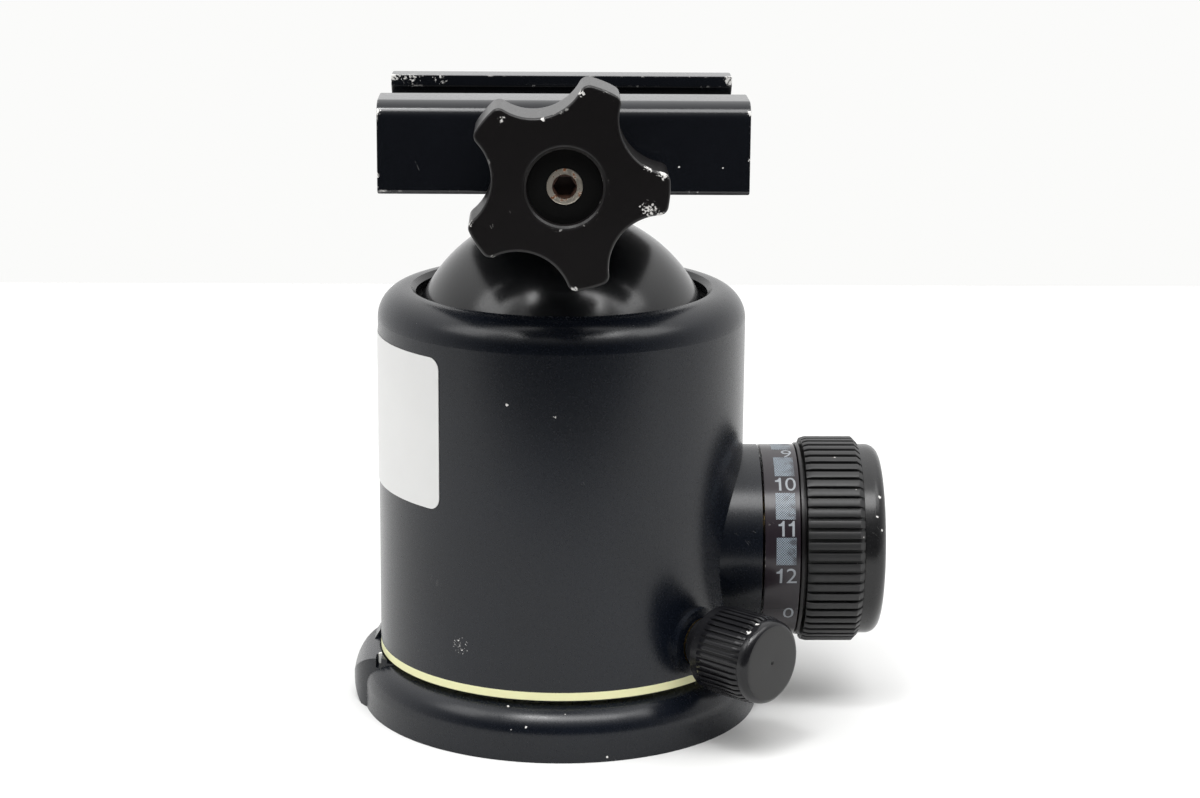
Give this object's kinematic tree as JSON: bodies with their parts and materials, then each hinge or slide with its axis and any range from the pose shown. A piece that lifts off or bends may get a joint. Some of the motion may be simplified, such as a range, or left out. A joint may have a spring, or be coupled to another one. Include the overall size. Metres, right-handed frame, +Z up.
{
  "type": "tripod ball head",
  "caption": "Tripod ball head: panning foot, housing with a gripped ball, graduated lock knob, panning lock and a screw clamp for dovetail plates.",
  "frame": {"origin": "centre of the foot's underside, at the mouth of the tripod thread", "axes": "+Z up through the ball, lock knob along +X, clamp knob along -Y, drop notch towards +Y"},
  "size_m": [0.0934, 0.0807, 0.1158],
  "materials": {
    "body_black": "satin black anodised with a blue cast",
    "clamp_black": "satin black anodised, worn bright at the edges",
    "knob_black": "satin black anodised",
    "ball_black": "polished dark hard-anodised",
    "cap_black": "glossy black anodised",
    "dial_plum": "satin dark purplish-brown anodised",
    "rubber_grip": "matte dark grey",
    "seal_rubber": "matte black",
    "insert_black": "matte black",
    "pale_ring": "matte pale yellow-green",
    "white_mark": "matte white",
    "label_paper": "smooth white",
    "steel": "turned",
    "screw_steel": "tarnished, a little rusty",
    "inner_alu": "turned, bare",
    "brass": "turned",
    "polymer": "matte off-white bearing polymer"
  },
  "bodies": {
    "base": {"base_foot": "body_black", "tripod_insert": "steel", "pan_hub": "inner_alu", "hub_screws": "steel", "slide_washer": "polymer", "hub_thrust_washer": "brass", "index_mark": "white_mark"},
    "housing": {"housing": "body_black", "pan_ring": "pale_ring", "floor_ring": "inner_alu", "upper_seat_ring": "polymer", "mouth_seal": "seal_rubber", "lock_bush": "brass", "mechanism_plate": "steel", "retaining_clip": "steel", "cup_guide_pin": "steel", "pan_lock_bush": "brass", "paper_label": "label_paper"},
    "lock_knob": {"lock_shaft": "steel", "shaft_clip": "steel", "knob_core": "knob_black", "core_pin": "steel", "scale_ring": "dial_plum", "rubber_grip": "rubber_grip", "disc_springs": "steel", "knob_thrust_washer": "brass"},
    "preset_dial": {"end_cap": "cap_black", "preset_spindle": "steel"},
    "wedge": {"wedge_nut": "brass"},
    "cup": {"pressure_cup": "inner_alu", "lift_pins": "steel"},
    "liner": {"friction_liner": "polymer"},
    "ball": {"ball": "ball_black", "stem_washer": "polymer"},
    "clamp": {"clamp_base": "clamp_black", "stem_bolt": "steel", "barrel_nut": "steel", "guide_pins": "steel"},
    "jaw": {"moving_jaw": "clamp_black"},
    "clamp_knob": {"clamp_screw": "screw_steel", "clamp_knob": "knob_black", "knob_insert": "insert_black", "knob_washer": "steel"},
    "pan_pad": {"pan_lock_pad": "polymer"},
    "pan_knob": {"pan_lock_stud": "steel", "pan_lock_knob": "knob_black"}
  },
  "joints": [
    {"name": "pan", "type": "hinge", "parent": "base", "child": "housing", "pos_m": [0, 0, 0.0116], "axis": [0, 0, 1], "continuous": true},
    {"name": "lock_turn", "type": "hinge", "parent": "housing", "child": "lock_knob", "pos_m": [0.038, 0, 0.0292], "axis": [1, 0, 0], "range_deg": [0, 220]},
    {"name": "preset_turn", "type": "hinge", "parent": "lock_knob", "child": "preset_dial", "pos_m": [0.038, 0, 0.0292], "axis": [1, 0, 0], "range_deg": [0, 270]},
    {"name": "wedge_slide", "type": "slide", "parent": "housing", "child": "wedge", "axis": [1, 0, 0], "range_m": [-0.000916, 0]},
    {"name": "cup_drop", "type": "slide", "parent": "housing", "child": "cup", "axis": [0, 0, 1], "range_m": [-0.00032, 0]},
    {"name": "roll", "type": "hinge", "parent": "housing", "child": "liner", "pos_m": [0, 0, 0.0615], "axis": [0, 1, 0], "range_deg": [-37, 37]},
    {"name": "pitch", "type": "hinge", "parent": "liner", "child": "ball", "pos_m": [0, 0, 0.0615], "axis": [1, 0, 0], "range_deg": [-90, 32]},
    {"name": "spin", "type": "hinge", "parent": "ball", "child": "clamp", "pos_m": [0, 0, 0.0956], "axis": [0, 0, 1], "continuous": true},
    {"name": "jaw_slide", "type": "slide", "parent": "clamp", "child": "jaw", "axis": [0, -1, 0], "range_m": [-0.001, 0.004]},
    {"name": "clamp_knob_turn", "type": "hinge", "parent": "jaw", "child": "clamp_knob", "pos_m": [0, -0.0395, 0.0997], "axis": [0, -1, 0], "range_deg": [-288, 1152]},
    {"name": "pan_pad_slide", "type": "slide", "parent": "housing", "child": "pan_pad", "axis": [0.7193, -0.6947, 0], "range_m": [0, 0.0008]},
    {"name": "pan_lock_turn", "type": "hinge", "parent": "pan_pad", "child": "pan_knob", "pos_m": [0.03021, -0.02918, 0.01744], "axis": [0.7193, -0.6947, 0], "range_deg": [0, 288]}
  ],
  "couplings": [
    {"joint": "lock_turn", "follows": "wedge_slide", "rad_per_m": -4188.8},
    {"joint": "cup_drop", "follows": "wedge_slide", "ratio": 0.32492},
    {"joint": "clamp_knob_turn", "follows": "jaw_slide", "rad_per_m": 5026.5},
    {"joint": "pan_lock_turn", "follows": "pan_pad_slide", "rad_per_m": 6283.2}
  ]
}
